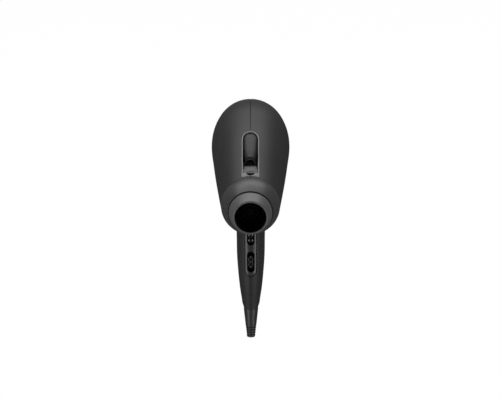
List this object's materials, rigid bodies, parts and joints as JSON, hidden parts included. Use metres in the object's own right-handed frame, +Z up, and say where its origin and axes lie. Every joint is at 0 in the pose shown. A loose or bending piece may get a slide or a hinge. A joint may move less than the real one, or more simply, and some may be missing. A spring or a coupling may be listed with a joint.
{
  "type": "hair dryer",
  "caption": "Hand-held hair dryer with tapered nozzle ring, ion outlet on top, push button and slider on the grip, and a pull-off rear inlet cap.",
  "frame": {"origin": "middle of the grip, on the handle's own line", "axes": "-Y is the way the air blows, +Z is up, X = 0 is the plane between the housing halves"},
  "size_m": [0.09, 0.2273, 0.2642],
  "materials": {
    "housing_plastic": "fine spark texture, charcoal",
    "front_plastic": "fine satin, charcoal",
    "ring_plastic": "satin graphite",
    "insert_plastic": "satin grey",
    "panel_plastic": "satin, charcoal",
    "control_plastic": "gloss black",
    "black_plastic": "matt black",
    "guard_rubber": "matt, charcoal",
    "steel": "plain",
    "zinc_steel": "zinc plated",
    "core_steel": "stacked laminations",
    "resistance_wire": "drawn, oxidised",
    "mica": "pressed sheet",
    "white_plastic": "natural",
    "ceramic_white": "matt",
    "bronze": "sintered",
    "copper": "enamelled wire",
    "magnet": "ferrite",
    "carbon": "pressed carbon",
    "board": "glass-fibre laminate",
    "component_blue": "potted block",
    "component_yellow": "film capacitor",
    "lead_white": "wire insulation",
    "lead_red": "wire insulation",
    "filter_net": "woven nylon"
  },
  "bodies": {
    "dryer": {"left_housing": "housing_plastic", "right_housing": "housing_plastic", "front_cone": "front_plastic", "nozzle_ring": "ring_plastic", "outlet_grille": "black_plastic", "ion_jet_insert": "insert_plastic", "needle_holder": "white_plastic", "ion_needles": "steel", "ion_generator": "component_blue", "ion_lead": "lead_red", "handle_panel": "panel_plastic", "switch_plate": "black_plastic", "cool_button_spring": "steel", "cool_switch": "black_plastic", "slide_switch": "black_plastic", "switch_board": "board", "suppression_capacitor": "component_yellow", "strain_relief": "guard_rubber", "cord_clamp": "white_plastic", "clamp_screws": "zinc_steel", "housing_screws": "zinc_steel", "inner_leads": "lead_white", "heater_sleeve": "mica", "mica_frame": "mica", "heating_coils": "resistance_wire", "thermostat": "steel", "thermal_fuse": "ceramic_white", "fan_duct": "black_plastic", "motor_can": "steel", "motor_magnets": "magnet", "motor_end_cap": "white_plastic", "motor_bearings": "bronze", "motor_brushes": "carbon", "motor_board": "board", "rectifier_diodes": "black_plastic"},
    "fan": {"motor_rotor": "core_steel", "rotor_windings": "copper", "commutator": "copper", "motor_shaft": "steel", "fan_impeller": "black_plastic"},
    "cool_button": {"cool_button": "control_plastic"},
    "power_slider": {"power_slider": "control_plastic"},
    "rear_cap": {"rear_cap": "front_plastic", "filter_ring": "black_plastic", "filter_mesh": "filter_net"}
  },
  "joints": [
    {"name": "fan_spin", "type": "hinge", "parent": "dryer", "child": "fan", "pos_m": [0, 0.06301, 0.11255], "axis": [0, 0.9846, 0.1748], "continuous": true},
    {"name": "cool_button_press", "type": "slide", "parent": "dryer", "child": "cool_button", "axis": [0, 0.9856, -0.1693], "range_m": [0, 0.0018], "stiffness_N_per_m": 600, "springref_m": -0.001, "deforming": ["cool_button_spring"]},
    {"name": "power_slide", "type": "slide", "parent": "dryer", "child": "power_slider", "axis": [0, 0.1693, 0.9856], "range_m": [-0.0045, 0.0045]},
    {"name": "rear_cap_pull", "type": "slide", "parent": "dryer", "child": "rear_cap", "axis": [0, 1, 0], "range_m": [0, 0.03]}
  ]
}
